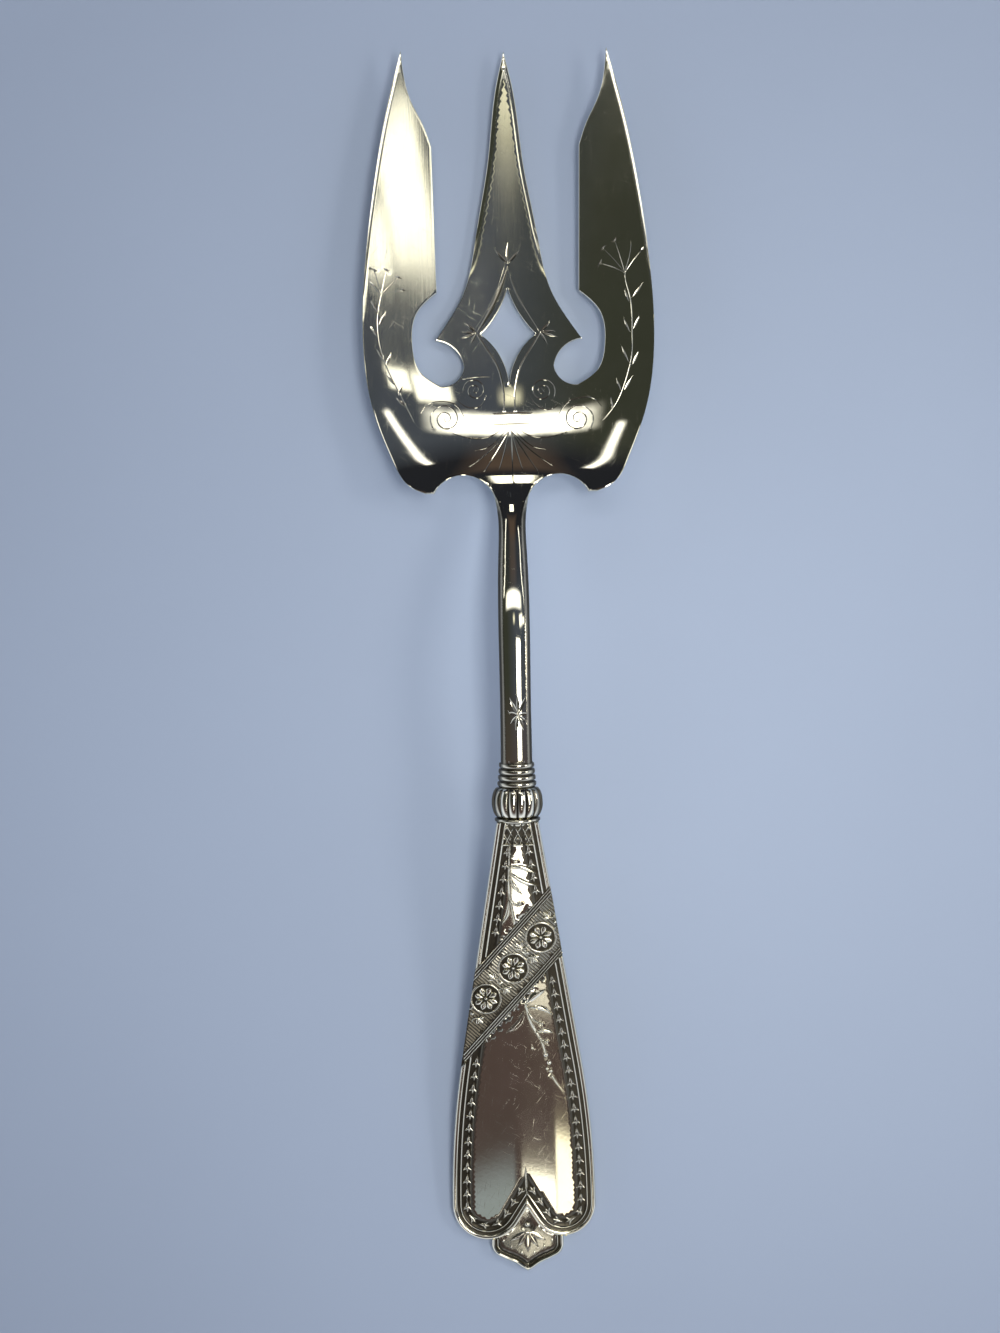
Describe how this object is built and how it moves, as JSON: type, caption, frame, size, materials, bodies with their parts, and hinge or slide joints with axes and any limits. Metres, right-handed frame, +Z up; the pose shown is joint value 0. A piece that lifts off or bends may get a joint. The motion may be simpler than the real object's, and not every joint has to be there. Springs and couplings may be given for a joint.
{
  "type": "fish serving fork",
  "caption": "Silver-plated fish serving fork with a dished, pierced head, a fluted knop and a tapered handle carved with a slanted band of rosettes.",
  "frame": {"origin": "middle of the fork's length and width, on the surface it rests on", "axes": "+X across the fork, +Y towards the tines, +Z up"},
  "size_m": [0.0542, 0.2286, 0.017],
  "materials": {
    "silver_plate": "polished silver plate, tarnished in the recesses"
  },
  "bodies": {
    "root": {"fork": "silver_plate"}
  },
  "joints": []
}
